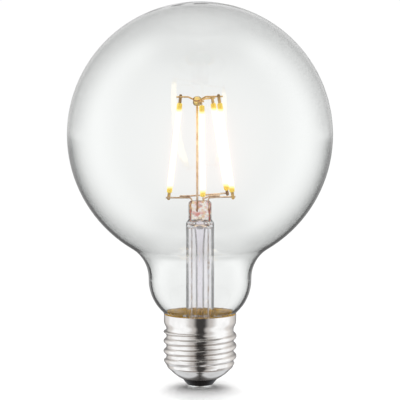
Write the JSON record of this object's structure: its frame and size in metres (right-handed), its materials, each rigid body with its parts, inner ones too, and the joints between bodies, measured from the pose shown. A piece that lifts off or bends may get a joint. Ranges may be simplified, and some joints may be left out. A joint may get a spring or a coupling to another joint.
{
  "type": "globe bulb",
  "caption": "Clear glass globe lamp with upright LED filaments on a glass stem and an E27 screw cap.",
  "frame": {"origin": "the tip of the centre contact, on the lamp's axis", "axes": "+Z along the lamp's axis from the contact to the crown of the globe; -Y towards the viewer of the picture, +X to the viewer's right"},
  "size_m": [0.095, 0.095, 0.1386],
  "materials": {
    "globe_glass": "clear blown glass",
    "stem_glass": "clear glass",
    "bead_glass": "melted glass bead",
    "lead_metal": "copper-coated wire",
    "tab_metal": "stamped strip, browned by the weld",
    "filament_coat": "phosphor-filled silicone, lit",
    "shell_nickel": "bright nickel plate on rolled sheet",
    "insulator_black": "black, moulded",
    "contact_metal": "tinned",
    "cement": "baked basing cement",
    "board": "solder mask",
    "chip_case": "moulded, matt",
    "capacitor_can": "drawn can",
    "resistor_coat": "flameproof coat",
    "tinned_wire": "tinned"
  },
  "bodies": {
    "root": {"glass_globe": "globe_glass", "glass_stem": "stem_glass", "exhaust_tube": "stem_glass", "hub_bead": "bead_glass", "lead_wire_left": "lead_metal", "lead_wire_right": "lead_metal", "branch_wire_rear": "lead_metal", "branch_wire_front": "lead_metal", "centre_post": "lead_metal", "head_wire_left_right": "lead_metal", "head_wire_front_rear": "lead_metal", "screw_shell": "shell_nickel", "cap_insulator": "insulator_black", "centre_contact": "contact_metal", "cap_cement": "cement", "driver_board": "board", "bridge_rectifier": "chip_case", "driver_chip": "chip_case", "smoothing_capacitor": "capacitor_can", "fuse_resistor": "resistor_coat", "neutral_wire": "tinned_wire", "filament_left": "filament_coat", "foot_tab_left": "tab_metal", "head_tab_left": "tab_metal", "filament_front": "filament_coat", "foot_tab_front": "tab_metal", "head_tab_front": "tab_metal", "filament_right": "filament_coat", "foot_tab_right": "tab_metal", "head_tab_right": "tab_metal", "filament_rear": "filament_coat", "foot_tab_rear": "tab_metal", "head_tab_rear": "tab_metal"}
  },
  "joints": []
}
